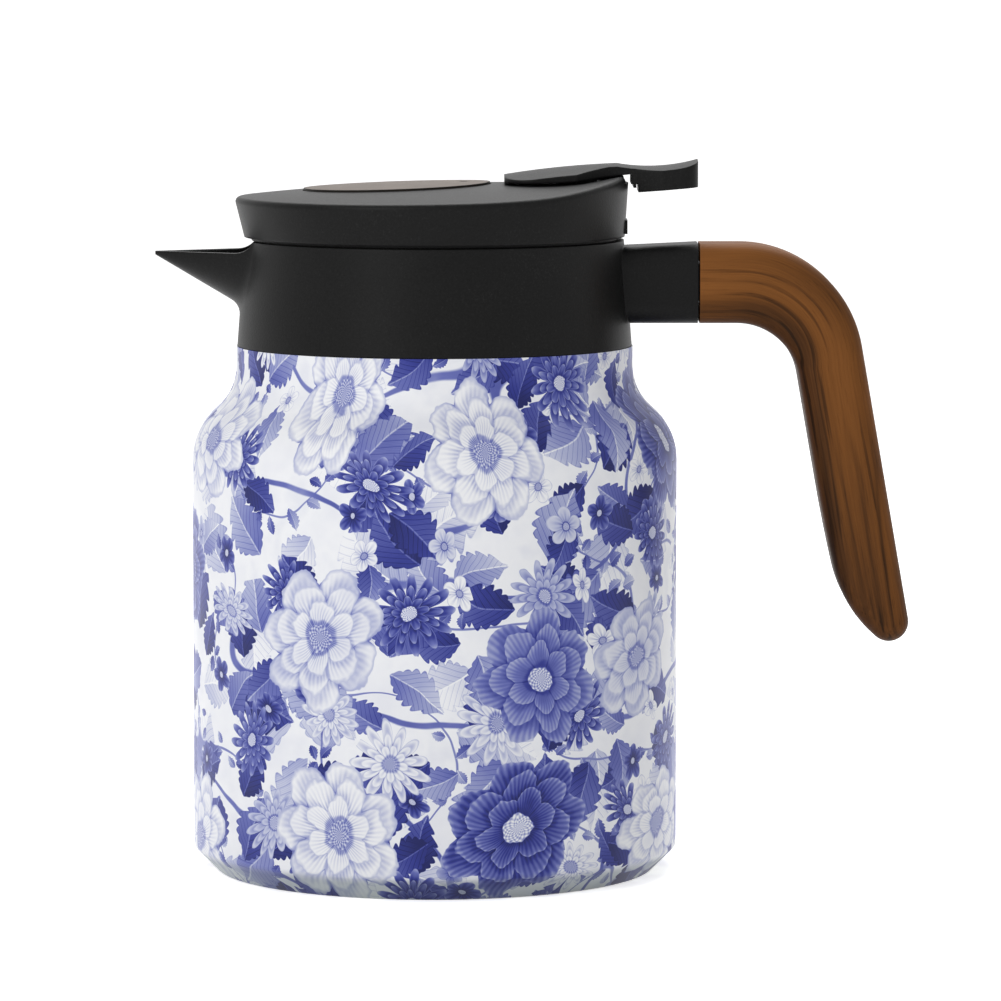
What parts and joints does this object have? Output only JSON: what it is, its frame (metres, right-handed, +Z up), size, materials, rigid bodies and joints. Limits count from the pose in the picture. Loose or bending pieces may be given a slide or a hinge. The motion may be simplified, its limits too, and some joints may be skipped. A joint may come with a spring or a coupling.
{
  "type": "insulated pouring jug",
  "caption": "Round vacuum-insulated jug with a necked body, pointed spout, open-ended handle and a lift-out lid whose thumb lever opens a pouring valve.",
  "frame": {"origin": "centre of the foot ring, on the plane that the jug stands on", "axes": "+Z up along the flask's axis, spout along -X, handle along +X"},
  "size_m": [0.1863, 0.12, 0.1762],
  "materials": {
    "printed_shell": "satin",
    "steel": "brushed",
    "seal_disc": "matte",
    "black_plastic": "fine grain",
    "inner_plastic": "matte",
    "soft_seal": "matte",
    "wood": "semi-gloss",
    "satin_disc": "satin"
  },
  "bodies": {
    "pot": {"outer_shell": "printed_shell", "inner_flask": "steel", "base_plate": "steel", "vacuum_seal": "seal_disc", "collar": "black_plastic", "neck_seal": "soft_seal", "handle_core": "steel", "handle_screw": "steel", "handle_grip": "wood"},
    "lid": {"lid_cover": "black_plastic", "lid_disc": "satin_disc", "lid_screws": "steel", "lid_stopper": "inner_plastic", "stopper_base": "inner_plastic", "lid_gasket": "soft_seal", "stem_seal": "soft_seal", "seal_retainer": "inner_plastic", "lever_pin": "steel", "valve_spring": "steel"},
    "lever": {"thumb_lever": "black_plastic", "lift_arm": "inner_plastic", "arm_pin": "steel"},
    "valve": {"valve_stem": "inner_plastic", "stem_cap": "inner_plastic", "valve_seal": "soft_seal", "valve_nut": "inner_plastic"}
  },
  "joints": [
    {"name": "lid_lift", "type": "slide", "parent": "pot", "child": "lid", "axis": [0, 0, 1], "range_m": [0, 0.07]},
    {"name": "lever_press", "type": "hinge", "parent": "lid", "child": "lever", "pos_m": [0.036, 0, 0.1659], "axis": [0, 1, 0], "range_deg": [0, 8], "stiffness_Nm_per_rad": 0.5, "springref_deg": -5.73},
    {"name": "valve_lift", "type": "slide", "parent": "lid", "child": "valve", "axis": [0, 0, 1], "range_m": [0, 0.0052], "deforming": ["valve_spring"]}
  ],
  "couplings": [
    {"joint": "valve_lift", "follows": "lever_press", "m_per_rad": 0.0369}
  ]
}
